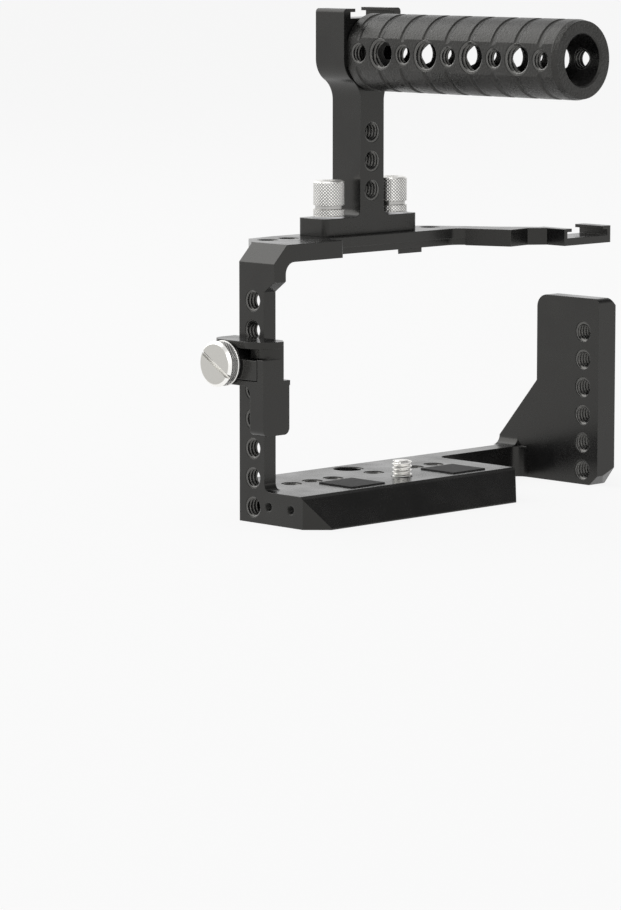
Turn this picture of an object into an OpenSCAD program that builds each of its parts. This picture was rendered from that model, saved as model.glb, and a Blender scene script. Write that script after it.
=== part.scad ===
// Camera cage: one machined frame, a bolt-on top handle with a tubular grip,
// and a cable clamp held by a slotted thumbscrew.
// The origin is the tripod thread's mouth on the underside.
// +X runs to the right seen from behind, +Y forward to the lens, +Z up. Millimetres.

/* [Frame] */
// Height of the frame
frame_h = 83; // [75:0.5:95]
// Handle axis to the left column's outer face
left_reach = 53; // [50:0.5:62]
// Handle axis to the right upright's outer face
right_reach = 85; // [82:0.5:95]
// Tripod thread to the back edge of the base
back_reach = 29; // [27:0.5:34]
// Tripod thread to the front edge of the base
base_front = 19; // [17:0.5:24]
// Thickness of the base
base_t = 9.7; // [8:0.1:12]
// Thickness of the top plate
plate_t = 5.2; // [4.5:0.1:7]
// Thickness of the left column
column_t = 4.8; // [4:0.1:6]
// Width of the left column, front to back
column_w = 10.5; // [9.5:0.1:12]
// Front face of the left column
column_front = 3.9; // [3:0.1:5]
// Size of the 45 degree cut at the top left edge
top_chamfer = 5.4; // [3:0.1:6]

/* [Base] */
// Length of the ramp along the back of the base
ramp_run = 6.1; // [4:0.1:8]
// Height of the ramp's lower edge
ramp_low = 0.4; // [0.2:0.1:2]
// Height of the ramp's upper edge
ramp_high = 8.9; // [7:0.1:9]
// 45 degree cut at both back corners of the base
corner_cut = 6.1; // [4:0.1:8]
// Right end of the base, where the battery door opening starts
base_right = 39.1; // [34:0.1:42]
// Back edge of the arm that joins the base to the upright
arm_back = 11; // [10:0.5:13]

/* [Top plate] */
// Back face of the block at the left
block_back = -11; // [-13:0.1:-9]
// Right end of the block
block_right = -23.9; // [-26:0.1:-22]
// Back edge of the notch for the viewfinder
notch_back = -3.5; // [-5:0.1:-2]
// Right end of the notch's straight edge
notch_right = 30.4; // [28:0.1:32]
// Radius of the curve that leads from the notch into the ear
ear_curve = 4; // [2:0.5:6]
// Height of the undercut below the notch edge
undercut_h = 2.1; // [1:0.1:2.6]
// Depth of the undercut
undercut = 1.3; // [0.5:0.1:2]
// Front edge of the top plate
plate_front = 15; // [14.5:0.5:18]

/* [Ear and cold shoes] */
// Centre of the ear's shoe from the handle axis
shoe_x = 64.2; // [62:0.1:66]
// Back face of the ear's shoe
shoe_back = -29.5; // [-31:0.1:-28]
// Length of the ear's shoe slot
shoe_len = 11.7; // [11:0.1:14]
// Inside width of both shoe slots
shoe_w = 18.6; // [18.5:0.05:18.8]
// Opening between the lips
shoe_neck = 14.6; // [12.6:0.1:15]
// Height of the slot under the lips
shoe_h = 1.9; // [1.9:0.1:2.2]
// Thickness of the lips
lip_t = 1; // [0.9:0.1:1.4]
// Wall beside the slot
shoe_wall = 2; // [1.6:0.1:2.6]

/* [Right upright] */
// Thickness of the upright
upright_t = 8; // [6:0.5:10]
// Height of the upright
upright_h = 59.3; // [50:0.5:66]
// Back face of the upright
upright_back = -23.1; // [-25:0.1:-21]
// Cut along the upright's outer top edge
upright_chamfer = 2.4; // [1:0.1:3]

/* [Threads] */
// Radius of a 1/4-20 thread
quarter_r = 3.175; // [3.175]
// Radius of a 3/8-16 thread
three_eighths_r = 4.7625; // [4.7625]
// Pitch of the rows of 1/4 threads
row_pitch = 8.8; // [8.6:0.1:9.4]
// Height of the lowest threads in both uprights
row_start = 4.6; // [4.4:0.1:5]
// Threads in the left column
column_count = 8; // [6:1:8]
// Threads in the right upright
upright_count = 6; // [4:1:6]
// Column threads' centre line from the tripod thread
column_row_y = -1.8; // [-2:0.1:-1]
// Upright threads' centre line from the tripod thread
upright_row_y = -16.6; // [-18:0.1:-15]
// Row of top threads and handle screws from the tripod thread
top_row_y = 6; // [5:0.1:7]
// First top thread left of the handle axis
top_thread_x = 30.5; // [29:0.1:32]
// Spacing of the two top threads on the left
top_thread_gap = 8.6; // [8:0.1:9]
// Radius of the small blind threads in the foot
small_thread_r = 1.5; // [1.2:0.1:1.7]
// 3/8 thread in the base, in front of the tripod thread
front_thread_y = 11; // [10:0.1:12]

/* [Handle] */
// Length of the bracket's base along the frame
handle_base_w = 40; // [38:0.5:44]
// Depth of the bracket, front to back
bracket_d = 12; // [11:0.1:14]
// Back face of the bracket
bracket_back = 1; // [0:0.1:2]
// Thickness of the bracket's base
handle_base_t = 5.3; // [4.5:0.1:6]
// Width of the post
post_w = 10; // [9:0.1:11]
// Width of the head
head_w = 24.4; // [23.5:0.1:26]
// Height of the head's top
handle_top = 151.2; // [145:0.1:160]
// Handle screws' distance from the ends of the bracket's base
screw_inset = 6.5; // [5.5:0.1:7.5]
// Height of the flare's start above the frame's underside
flare_z = 123.3; // [118:0.1:126]
// Height of the flare
flare_h = 12.7; // [12:0.1:16]

/* [Grip] */
// Radius of the grip tube
grip_r = 11.7; // [11:0.1:13]
// Radius of its bore
grip_bore_r = 7.5; // [7:0.1:8.2]
// Length of the grip
grip_len = 85.4; // [80:0.1:100]
// Height of the grip's axis
grip_z = 138; // [136:0.1:140]
// Width of the flats along both sides
flat_w = 9.5; // [8.5:0.1:10.5]
// Round rim left at the near end of the flats
flat_rim = 2.2; // [1:0.1:4]
// Number of cross holes, alternating 1/4 and 3/8
grip_holes = 9; // [7:2:9]
// Front end of the grip to the first cross hole
first_hole = 4.7; // [4.2:0.1:6]
// Spacing of the cross holes
hole_pitch = 9.2; // [8.9:0.1:9.6]
// Thickness of the closed front end that the bolt goes through
grip_front_t = 3; // [2.5:0.1:4]
// Width of each ring groove
groove_w = 2.4; // [1.5:0.1:3]
// Depth of each ring groove
groove_d = 0.35; // [0.2:0.05:0.7]

/* [Thumbscrews] */
// Radius of the handle screws' heads
knob_r = 4.8; // [4.5:0.1:6]
// Height of the heads
knob_h = 10.8; // [9:0.1:12]
// Washer thickness
washer_t = 0.5; // [0.3:0.1:0.8]
// Radius of the clamp screw's head
clamp_head_r = 6.75; // [6:0.05:7.5]
// Thickness of the clamp screw's head
clamp_head_t = 4.2; // [3:0.1:4.5]
// Radius of the camera screw's head
camera_head_r = 6.5; // [6:0.1:6.8]
// Camera screw behind the tripod thread
camera_screw_y = -12; // [-13:0.1:-11.8]
// Camera screw's reach above the base
camera_screw_reach = 5; // [4:0.5:5.5]

/* [Cable clamp] */
// Outer face of the clamp from the column's outer face
clamp_out = 11; // [10:0.1:13]
// Back face of the clamp
clamp_back = -17.7; // [-19:0.1:-17]
// Underside of the hanging block
clamp_low = 28; // [26:0.5:31]
// Number of the column thread that the clamp screw uses, counted from below
clamp_thread = 5; // [5:1:5]

/* [Hidden] */
$fn = 48;
eps = 0.01;
shank_gap = 0.075;
shank_r = quarter_r - shank_gap;
through_gap = 0.2;
through_r = shank_r + through_gap;
side_gap = 0.3;
plate_z = frame_h - plate_t;
left_x = -left_reach;
column_x = left_x + column_t;
column_back = column_front - column_w;
upright_x = right_reach - upright_t;
ear_left_x = shoe_x - shoe_w / 2;
bracket_front = bracket_back + bracket_d;
handle_base_z = frame_h + handle_base_t;
screw_x = handle_base_w / 2 - screw_inset;
shoe_cut_h = shoe_h + lip_t;
knob_z = handle_base_z + washer_t;
grip_flat_x = sqrt(grip_r * grip_r - flat_w * flat_w / 4);
grip_wall_y = bracket_back - grip_front_t;
grip_end_y = bracket_back - grip_len;
clamp_z = row_start + clamp_thread * row_pitch;
clamp_x = left_x - clamp_out;
clamp_wall_t = 3;
clamp_wall_x = left_x - clamp_wall_t;
clamp_back_t = 2.5;
clamp_block_d = 5.6;
clamp_shelf_t = 2;
clamp_top_z = clamp_z + 6.9;
clamp_shelf_z = clamp_z - 6.1;
lower_shelf_t = 1.5;
clamp_neck_z = clamp_z + 1.9;
clamp_neck_x = clamp_x + 3;
clamp_neck_d = 9.2;
clamp_front = column_row_y + 7.6;
jaw_back = clamp_back + clamp_back_t + side_gap;
jaw_low_z = clamp_shelf_z + lower_shelf_t + side_gap;
jaw_step_z = clamp_neck_z - side_gap;
clamp_washer_t = 0.4;
pad_t = 1.3;
pad_x = clamp_wall_x - side_gap;
bolt_r = 3;
bolt_head_r = 5;
bolt_head_t = 3.3;
dowel_r = 1.5;
dowel_x = 6.8;
tongue_w = 10.8;
tongue_x = 9.4;
tongue_back = -1;
tongue_t = 1.5;
tongue_screw_x = tongue_x + tongue_w - 2.8;
tongue_screw_y = tongue_back + 2.6;
tongue_screw_r = 1.25;
counterbore_r = 7;
counterbore_h = 6;
camera_head_t = 3.4;
base_pad_t = 0.8;
base_pad_w = 14;
base_pad_x = 22;
base_pad_y = -12.5;

// ---- shared shapes ----

// The corner between a square and its quarter round: cut away to round an outside
// corner, or added to fill an inside one.
module corner(r) {
  difference() {
    translate([-eps, -eps]) square(r + eps);
    translate([r, r]) circle(r);
  }
}

// A profile drawn in Y and Z, given its length along X.
module along_x(x, len) {
  translate([x, 0, 0]) rotate([90, 0, 90]) linear_extrude(len) children();
}

// A profile drawn in X and Z, given its length along Y from its back face.
module along_y(y, len) {
  translate([0, y + len, 0]) rotate([90, 0, 0]) linear_extrude(len) children();
}

// A hole or pin along Y from y to y + len.
module rod_y(x, y, z, r, len) {
  translate([x, y, z]) rotate([-90, 0, 0]) cylinder(r = r, h = len);
}

// A hole or pin along X from x to x + len.
module rod_x(x, y, z, r, len) {
  translate([x, y, z]) rotate([0, 90, 0]) cylinder(r = r, h = len);
}

// The T-shaped opening of a cold shoe, seen along the slot, with its lips' tops at z = 0.
module shoe_profile() {
  translate([-shoe_w / 2, -shoe_cut_h]) square([shoe_w, shoe_h]);
  translate([-shoe_neck / 2, -shoe_cut_h]) square([shoe_neck, shoe_cut_h + 1]);
}

// ---- frame ----

// Left column in Y and Z: narrow in the middle, stepping back at its head and its foot.
module column_profile() {
  head_z = plate_z - 5.6;
  step = 3.2;
  difference() {
    polygon([
      [column_front, 0], [column_front, frame_h], [block_back, frame_h],
      [block_back, head_z], [column_back, head_z - step],
      [column_back, base_t], [-back_reach + ramp_run + 3, base_t],
      [-back_reach + ramp_run + 3, 0]
    ]);
  }
  translate([column_back, base_t]) rotate(90) corner(2.3);
}

// Base in Y and Z: a flat bed with a ramp along its back.
module base_profile() {
  difference() {
    polygon([
      [base_front, 0], [base_front, base_t], [-back_reach + ramp_run + 0.9, base_t],
      [-back_reach + ramp_run, ramp_high], [-back_reach, ramp_low], [-back_reach, 0]
    ]);
    translate([base_front, base_t]) rotate(180) corner(1.5);
  }
}

// Outline of the base from above.
module base_plan() {
  difference() {
    polygon([
      [left_x, column_front], [left_x, corner_cut - back_reach],
      [left_x + corner_cut, -back_reach], [base_right - corner_cut, -back_reach],
      [base_right, corner_cut - back_reach], [base_right, arm_back],
      [right_reach, arm_back], [right_reach, base_front],
      [left_x + 16, base_front], [left_x + 6, column_front]
    ]);
    translate([right_reach, base_front]) rotate(180) corner(4);
  }
  translate([base_right, arm_back]) rotate(-90) corner(4);
  translate([upright_x, arm_back]) rotate(180) corner(4);
}

// Outline of the top plate from above: block, notch, ear and shoe.
module top_plan() {
  ear_right = shoe_x + shoe_w / 2 + shoe_wall;
  ear_out = ear_left_x - 1.3;
  ear_turn = 22.5;
  difference() {
    polygon([
      [left_x, column_front], [left_x, block_back],
      [block_right, block_back], [block_right, notch_back],
      [notch_right, notch_back],
      [notch_right + ear_curve * cos(ear_turn), notch_back - ear_curve * (1 - sin(ear_turn))],
      [notch_right + 9.7, shoe_back + 10.1], [notch_right + 18.5, shoe_back + 11.1],
      [ear_out, shoe_back + 7.4], [ear_out, shoe_back],
      [ear_right, shoe_back], [ear_right, shoe_back + shoe_len],
      [ear_left_x, shoe_back + shoe_len], [notch_right + 15, notch_back - 3],
      [notch_right + 4, plate_front - 5], [notch_right - 2, plate_front],
      [left_x + 24, plate_front], [left_x + 13, plate_front - 1.5],
      [left_x + 5, column_front]
    ]);
    translate([notch_right, notch_back - ear_curve]) circle(ear_curve);
    translate([block_right, block_back]) rotate(90) corner(1);
    translate([ear_right, shoe_back]) rotate(90) corner(1);
    translate([ear_right, shoe_back + shoe_len]) rotate(180) corner(1);
  }
  translate([block_right, notch_back]) rotate(-90) corner(2.5);
}

// Right upright in Y and Z.
module upright_profile() {
  difference() {
    polygon([
      [upright_back, 0], [base_front, 0], [base_front, base_t + 3],
      [3, base_t + 22], [3, upright_h], [upright_back, upright_h]
    ]);
    translate([3, upright_h]) rotate(180) corner(4);
    translate([upright_back, upright_h]) rotate(-90) corner(1.5);
  }
}

module cage_frame() {
  color([0.09, 0.09, 0.1]) difference() {
    union() {
      along_x(left_x, column_t) column_profile();
      intersection() {
        along_x(left_x, left_reach + right_reach) base_profile();
        translate([0, 0, -eps]) linear_extrude(base_t + 1) base_plan();
      }
      translate([0, 0, plate_z]) linear_extrude(plate_t) top_plan();
      along_x(upright_x, upright_t) upright_profile();
      // inside fillets where the column meets the plate and the base
      translate([column_x, 0, 0]) {
        along_y(block_back, column_front - block_back)
          translate([0, plate_z]) rotate(-90) corner(3.5);
        along_y(column_back, column_w) translate([0, base_t]) corner(2);
      }
      along_y(arm_back, base_front - arm_back)
        translate([upright_x, base_t]) rotate(90) corner(3);
    }
    // top left edge
    along_y(block_back - 1, 40) polygon([
      [left_x - 1, frame_h + 1], [left_x - 1, frame_h - top_chamfer - 1],
      [left_x + top_chamfer + 1, frame_h + 1]
    ]);
    // undercut below the notch's edge, following the curve at its right end
    translate([block_right, notch_back - 1, plate_z - 1])
      cube([notch_right - block_right, undercut + 1, undercut_h + 1]);
    translate([notch_right, notch_back - ear_curve, plate_z - 1]) intersection() {
      cylinder(r = ear_curve + undercut, h = undercut_h + 1);
      translate([-eps, 1.5, 0]) cube(12);
    }
    // the ear's cold shoe
    translate([shoe_x, 0, frame_h]) along_y(shoe_back - 1, shoe_len + 2) shoe_profile();
    // upright's outer top edge
    along_y(upright_back - 1, 60) polygon([
      [right_reach - upright_chamfer, upright_h + eps], [right_reach + 1, upright_h + eps],
      [right_reach + 1, upright_h - upright_chamfer - 1]
    ]);
    // cut along the upright's foot, steeper and higher at its outer corner
    along_x(upright_x - 1, upright_t + 2) polygon([
      [upright_back - 1, -1], [upright_back + 4.6, -1], [upright_back - 1, 4]
    ]);
    translate([right_reach, upright_back, 5.3]) rotate([35.5, 0, 17])
      translate([-15, -10, -15]) cube([30, 10, 30]);
    // rows of 1/4 threads through the column and the upright
    for (k = [0 : column_count - 1])
      rod_x(left_x - 1, column_row_y, row_start + k * row_pitch, quarter_r, column_t + 2);
    for (k = [0 : upright_count - 1])
      rod_x(upright_x - 1, upright_row_y, row_start + k * row_pitch, quarter_r, upright_t + 2);
    // small blind threads in the foot
    for (y = [-8.4, -17.8])
      rod_x(left_x - 1, y, row_start + 0.7, small_thread_r, 8);
    // top threads, and those that hold the handle
    for (x = [-top_thread_x - top_thread_gap, -top_thread_x, -screw_x, screw_x, top_thread_x])
      translate([x, top_row_y, plate_z - 1]) cylinder(r = quarter_r, h = plate_t + 2);
    // tripod threads
    translate([0, 0, -1]) cylinder(r = quarter_r, h = base_t + 2);
    translate([0, front_thread_y, -1]) cylinder(r = three_eighths_r, h = base_t + 2);
    for (x = [-4 * row_pitch, -3 * row_pitch, -2 * row_pitch, 2 * row_pitch, 3 * row_pitch])
      translate([x, 0, -1]) cylinder(r = quarter_r, h = base_t + 2);
    // camera screw's counterbore and hole
    translate([0, camera_screw_y, -1]) cylinder(r = counterbore_r, h = counterbore_h + 1);
    translate([0, camera_screw_y, -1]) cylinder(r = through_r, h = base_t + 2);
    // seats of the two pads on the bed
    for (s = [-1, 1]) pad_block(s, side_gap / 3, base_pad_t / 2, 1);
    // blind thread for the tongue's screw
    translate([tongue_screw_x, tongue_screw_y, plate_z - 1]) cylinder(r = tongue_screw_r, h = 4);
  }
}

// One pad's block on the bed, grown by gap all round, sunk by depth.
module pad_block(side, gap, sunk, tall) {
  wide = base_pad_w + 2 * gap;
  translate([side * base_pad_x - wide / 2, base_pad_y - wide / 2, base_t - sunk])
    cube([wide, wide, tall]);
}

module base_pads() {
  color([0.05, 0.05, 0.05]) for (s = [-1, 1]) pad_block(s, 0, base_pad_t / 2, base_pad_t);
}

// ---- locating tongue under the top plate ----

// The tongue's outline from above: its left edge slants clear of the handle screw's hole.
module tongue_plan() {
  slant = top_row_y - tongue_back;
  difference() {
    polygon([
      [tongue_x, tongue_back], [tongue_x + tongue_w, tongue_back],
      [tongue_x + tongue_w, top_row_y], [tongue_x + slant, top_row_y]
    ]);
    translate([tongue_x + tongue_w, tongue_back]) rotate(90) corner(0.8);
  }
}

module locating_tongue() {
  color([0.1, 0.1, 0.11]) difference() {
    translate([0, 0, plate_z - tongue_t]) linear_extrude(tongue_t) tongue_plan();
    translate([tongue_screw_x, tongue_screw_y, plate_z - tongue_t]) {
      translate([0, 0, -1]) cylinder(r = tongue_screw_r + 0.1, h = 4);
      translate([0, 0, -eps]) cylinder(r1 = 2.4, r2 = tongue_screw_r + 0.1, h = 1.1);
    }
  }
}

module tongue_screw() {
  color([0.75, 0.75, 0.77])
  translate([tongue_screw_x, tongue_screw_y, plate_z - tongue_t + 0.05]) {
    cylinder(r1 = 2.2, r2 = tongue_screw_r - 0.05, h = 1);
    cylinder(r = tongue_screw_r - 0.05, h = tongue_t + 2.7);
  }
}

// ---- camera screw ----

module camera_screw() {
  head_z = counterbore_h - washer_t - camera_head_t;
  color([0.78, 0.78, 0.8]) translate([0, camera_screw_y, 0]) difference() {
    union() {
      translate([0, 0, head_z]) cylinder(r = camera_head_r, h = camera_head_t);
      translate([0, 0, head_z]) cylinder(r = shank_r, h = base_t + camera_screw_reach - head_z);
    }
    translate([-camera_head_r - 1, -0.8, head_z - 1]) cube([2 * camera_head_r + 2, 1.6, 2.4]);
  }
}

module camera_screw_washer() {
  color([0.6, 0.6, 0.62]) translate([0, camera_screw_y, counterbore_h - washer_t]) difference() {
    cylinder(r = camera_head_r - 0.4, h = washer_t);
    translate([0, 0, -1]) cylinder(r = through_r, h = washer_t + 2);
  }
}

// ---- handle ----

// Head and post in X and Z, with the S-curved flare and the shoe on top.
module bracket_profile() {
  flare_x = (head_w - post_w) / 2;
  flare_r = (flare_h * flare_h + flare_x * flare_x) / (4 * flare_x);
  mid_x = (head_w + post_w) / 4;
  mid_z = flare_z + flare_h / 2;
  difference() {
    union() {
      translate([-post_w / 2, frame_h + eps]) square([post_w, mid_z - frame_h]);
      translate([-mid_x, flare_z]) square([2 * mid_x, mid_z - flare_z]);
      intersection() {
        translate([-head_w / 2, mid_z - eps]) square([head_w, flare_h / 2 + 2 * eps]);
        union() {
          for (s = [-1, 1]) translate([s * (head_w / 2 - flare_r), flare_z + flare_h])
            circle(flare_r, $fn = 96);
          translate([-(head_w / 2 - flare_r), mid_z - eps])
            square([head_w - 2 * flare_r, flare_h / 2 + 2 * eps]);
        }
      }
      difference() {
        translate([-head_w / 2, flare_z + flare_h])
          square([head_w, handle_top - flare_z - flare_h]);
        for (s = [0, 1]) mirror([s, 0]) translate([head_w / 2, handle_top])
          rotate(180) corner(1.2);
      }
      // fillets at the post's foot
      for (s = [0, 1]) mirror([s, 0]) translate([post_w / 2, handle_base_z]) corner(2.5);
    }
    for (s = [-1, 1]) translate([s * (post_w / 2 + flare_r), flare_z])
      circle(flare_r, $fn = 96);
    translate([0, handle_top]) shoe_profile();
  }
}

// Base plate of the bracket from above, with rounded corners.
module bracket_base_plan() {
  difference() {
    translate([-handle_base_w / 2, bracket_back]) square([handle_base_w, bracket_d]);
    for (s = [0, 1]) mirror([s, 0]) {
      translate([handle_base_w / 2, bracket_back]) rotate(90) corner(1.75);
      translate([handle_base_w / 2, bracket_front]) rotate(180) corner(1.75);
    }
  }
}

module handle_bracket() {
  color([0.09, 0.09, 0.1]) difference() {
    union() {
      translate([0, 0, frame_h]) linear_extrude(handle_base_t) bracket_base_plan();
      along_y(bracket_back, bracket_d) bracket_profile();
    }
    for (s = [-1, 1]) translate([s * screw_x, top_row_y, frame_h - 1])
      cylinder(r = through_r, h = handle_base_t + 2);
    for (k = [0 : 2])
      rod_y(0, bracket_back - 1, handle_base_z + 7.9 + k * row_pitch, quarter_r, bracket_d + 2);
    // thread for the grip bolt, and the dowel seats
    rod_y(0, bracket_back - 1, grip_z, bolt_r, 11);
    for (s = [-1, 1]) rod_y(s * dowel_x, bracket_back - 1, grip_z + dowel_x, dowel_r, 6);
  }
}

// Position of cross hole k behind the grip's front end.
function hole_y(k) = bracket_back - first_hole - k * hole_pitch;

module handle_grip() {
  color([0.07, 0.07, 0.08]) difference() {
    translate([0, bracket_back, grip_z]) rotate([90, 0, 0]) rotate_extrude($fn = 96) difference() {
      polygon([
        [0, 0], [grip_r - 0.5, 0], [grip_r, 0.5],
        [grip_r, grip_len - 2], [grip_r - 0.4, grip_len], [0, grip_len]
      ]);
      // shallow ring grooves through the cross holes, steep in front and sloping behind
      for (k = [0 : grip_holes - 1]) translate([grip_r, first_hole + k * hole_pitch]) polygon([
        [eps, -groove_w / 2], [-groove_d, -groove_w / 3], [-groove_d, groove_w / 12],
        [eps, groove_w / 2]
      ]);
    }
    // flats on both sides, ending at a round rim
    for (s = [0, 1]) mirror([s, 0, 0])
      translate([grip_flat_x, grip_end_y + flat_rim, grip_z - grip_r])
      cube([grip_r, grip_len, 2 * grip_r]);
    // bore, open at the near end, with a small bevel
    rod_y(0, grip_end_y - 1, grip_z, grip_bore_r, grip_len + 1 - grip_front_t);
    translate([0, grip_end_y - eps, grip_z]) rotate([-90, 0, 0])
      cylinder(r1 = grip_bore_r + 0.5, r2 = grip_bore_r, h = 0.5);
    rod_y(0, grip_wall_y - 1, grip_z, bolt_r + through_gap, grip_front_t + 2);
    for (s = [-1, 1]) rod_y(s * dowel_x, bracket_back - 4, grip_z + dowel_x, dowel_r, 5);
    // cross holes, drilled from both sides: the first stops short of the bolt's washer
    for (k = [0 : grip_holes - 1]) {
      hole_r = (k % 2 == 0) ? quarter_r : three_eighths_r;
      if (hole_y(k) + hole_r < grip_wall_y) rod_x(-grip_r - 1, hole_y(k), grip_z, hole_r, 2 * grip_r + 2);
      else for (s = [0, 1]) mirror([s, 0, 0])
        rod_x(bolt_head_r + 1.2, hole_y(k), grip_z, hole_r, grip_r);
    }
  }
}

module grip_bolt() {
  color([0.2, 0.2, 0.21]) difference() {
    union() {
      rod_y(0, grip_wall_y - washer_t - bolt_head_t, grip_z, bolt_head_r, bolt_head_t);
      rod_y(0, grip_wall_y - washer_t - 1, grip_z, bolt_r - shank_gap, grip_front_t + 1 + washer_t + 9);
    }
    // hexagon socket
    translate([0, grip_wall_y - washer_t - bolt_head_t - 1, grip_z]) rotate([-90, 0, 0])
      cylinder(r = 4 / sqrt(3), h = 3.2, $fn = 6);
  }
}

module grip_bolt_washer() {
  color([0.6, 0.6, 0.62]) difference() {
    rod_y(0, grip_wall_y - washer_t, grip_z, bolt_head_r + 1, washer_t);
    rod_y(0, grip_wall_y - washer_t - 1, grip_z, bolt_r + through_gap, washer_t + 2);
  }
}

module grip_dowels() {
  color([0.7, 0.7, 0.72]) for (s = [-1, 1])
    rod_y(s * dowel_x, bracket_back - 3.8, grip_z + dowel_x, dowel_r - 0.05, 8.6);
}

// ---- handle thumbscrews ----

module knob(side) {
  band = 2.3;
  groove = 0.9;
  color([0.82, 0.82, 0.84]) translate([side * screw_x, top_row_y, knob_z]) difference() {
    rotate_extrude() polygon([
      [0, -handle_base_t - plate_t], [shank_r - 0.5, -handle_base_t - plate_t],
      [shank_r, 0.5 - handle_base_t - plate_t],
      [shank_r, 0], [knob_r - 0.2, 0], [knob_r, 0.2], [knob_r, band], [knob_r - 0.6, band],
      [knob_r - 0.6, band + groove], [knob_r, band + groove],
      [knob_r, knob_h - 0.6], [knob_r - 0.6, knob_h], [0, knob_h]
    ]);
    translate([0, 0, knob_h - 3]) cylinder(r = 4 / sqrt(3), h = 4, $fn = 6);
  }
}

module handle_washer(side) {
  color([0.72, 0.72, 0.74]) translate([side * screw_x, top_row_y, handle_base_z]) difference() {
    cylinder(r = knob_r + 0.1, h = washer_t);
    translate([0, 0, -1]) cylinder(r = through_r, h = washer_t + 2);
  }
}

module handle_screw_left() {
  knob(-1);
}

module handle_screw_right() {
  knob(1);
}

module handle_washer_left() {
  handle_washer(-1);
}

module handle_washer_right() {
  handle_washer(1);
}

// ---- cable clamp ----

// Outline from above of one layer of the clamp: from x to the column and from the clamp's
// back to front_y, rounded at its outer corners.
module clamp_plan(x, front_y, back_r, front_r) {
  difference() {
    translate([x, clamp_back]) square([left_x - x, front_y - clamp_back]);
    translate([x, front_y]) rotate(-90) corner(front_r);
    translate([x, clamp_back]) corner(back_r);
  }
}

// Hanging block in X and Z, with rounded lower corners.
module block_profile() {
  difference() {
    translate([clamp_x, clamp_low])
      square([clamp_out - side_gap, clamp_shelf_z + lower_shelf_t - clamp_low]);
    translate([clamp_x, clamp_low]) corner(2);
    translate([left_x - side_gap, clamp_low]) rotate(90) corner(2);
  }
}

module clamp_bracket() {
  corner_x = left_x - 2.6;
  corner_y = clamp_back + 3.2;
  lug_y = clamp_back + clamp_block_d - 0.5;
  lug_h = 12;
  cut_h = 20;
  color([0.09, 0.09, 0.1]) difference() {
    union() {
      // wall on the column's outer face
      translate([clamp_wall_x, clamp_back, clamp_shelf_z])
        cube([clamp_wall_t, clamp_front - clamp_back, clamp_top_z - clamp_shelf_z]);
      // wall behind the jaw
      translate([clamp_x, clamp_back, clamp_shelf_z])
        cube([clamp_out - 1, clamp_back_t, clamp_neck_z - clamp_shelf_z]);
      translate([0, 0, clamp_neck_z - eps]) linear_extrude(clamp_top_z - clamp_neck_z)
        clamp_plan(clamp_neck_x, clamp_back + clamp_neck_d, 5, 1);
      translate([0, 0, clamp_top_z - clamp_shelf_t]) linear_extrude(clamp_shelf_t)
        clamp_plan(clamp_x, clamp_front, 8, 6);
      translate([0, 0, clamp_shelf_z]) linear_extrude(lower_shelf_t)
        clamp_plan(clamp_x, clamp_front, 0.3, 9);
      along_y(clamp_back, clamp_block_d) block_profile();
      // fillet between the block and the lower shelf
      along_x(clamp_x, clamp_out - side_gap)
        translate([clamp_back + clamp_block_d, clamp_shelf_z]) rotate(-90) corner(2.5);
      // lug behind the column, which keeps the clamp from turning
      translate([clamp_wall_x, lug_y, clamp_low + 3])
        cube([clamp_wall_t + 3.5, column_back - side_gap - lug_y, lug_h]);
    }
    // inner back corner above the block, cut off at a slant
    translate([0, 0, clamp_shelf_z + lower_shelf_t]) linear_extrude(cut_h) polygon([
      [corner_x - 1, clamp_back - 1.23], [left_x + 1, clamp_back - 1.23], [left_x + 1, corner_y + 1.23]
    ]);
    rod_x(clamp_wall_x - 1, column_row_y, clamp_z, through_r, clamp_wall_t + 2);
  }
}

// Jaw in Y and Z: low behind, where the cable lies, and tall around the screw.
module jaw_profile() {
  top_z = clamp_top_z - clamp_shelf_t - side_gap;
  difference() {
    polygon([
      [jaw_back, jaw_low_z], [clamp_front, jaw_low_z],
      [clamp_front, top_z], [column_row_y - 5, top_z],
      [column_row_y - 6, jaw_step_z], [jaw_back, jaw_step_z]
    ]);
    translate([clamp_front, top_z]) rotate(180) corner(2);
    translate([clamp_front, jaw_low_z]) rotate(90) corner(2);
  }
}

module clamp_jaw() {
  color([0.09, 0.09, 0.1]) difference() {
    along_x(clamp_x, pad_x - pad_t - clamp_x) jaw_profile();
    rod_x(clamp_x - 1, column_row_y, clamp_z, through_r, clamp_out);
    // front outer corner follows the shelves
    translate([0, 0, jaw_low_z - 1]) linear_extrude(clamp_top_z - jaw_low_z)
      translate([clamp_x, clamp_front]) rotate(-90) corner(6);
  }
}

module clamp_jaw_pad() {
  color([0.05, 0.05, 0.05]) difference() {
    along_x(pad_x - pad_t, pad_t) jaw_profile();
    rod_x(pad_x - pad_t - 1, column_row_y, clamp_z, through_r + 0.2, pad_t + 2);
  }
}

module clamp_washer() {
  color([0.7, 0.7, 0.72]) difference() {
    rod_x(clamp_x - clamp_washer_t, column_row_y, clamp_z, clamp_head_r - 0.6, clamp_washer_t);
    rod_x(clamp_x - clamp_washer_t - 1, column_row_y, clamp_z, through_r, clamp_washer_t + 2);
  }
}

module clamp_screw() {
  tip = 0.3 - clamp_washer_t - clamp_out - column_t;
  color([0.82, 0.82, 0.84])
  translate([clamp_x - clamp_washer_t, column_row_y, clamp_z]) rotate([0, -90, 0]) difference() {
    rotate_extrude() polygon([
      [0, tip], [shank_r - 0.4, tip], [shank_r, tip + 0.4], [shank_r, 0],
      [clamp_head_r - 0.3, 0], [clamp_head_r, 0.3],
      [clamp_head_r, clamp_head_t - 0.6], [clamp_head_r - 0.6, clamp_head_t], [0, clamp_head_t]
    ]);
    // screwdriver slot
    rotate([0, 0, -31]) translate([-0.6, -clamp_head_r - 1, clamp_head_t - 1.2])
      cube([1.2, 2 * clamp_head_r + 2, 2]);
  }
}

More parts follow.
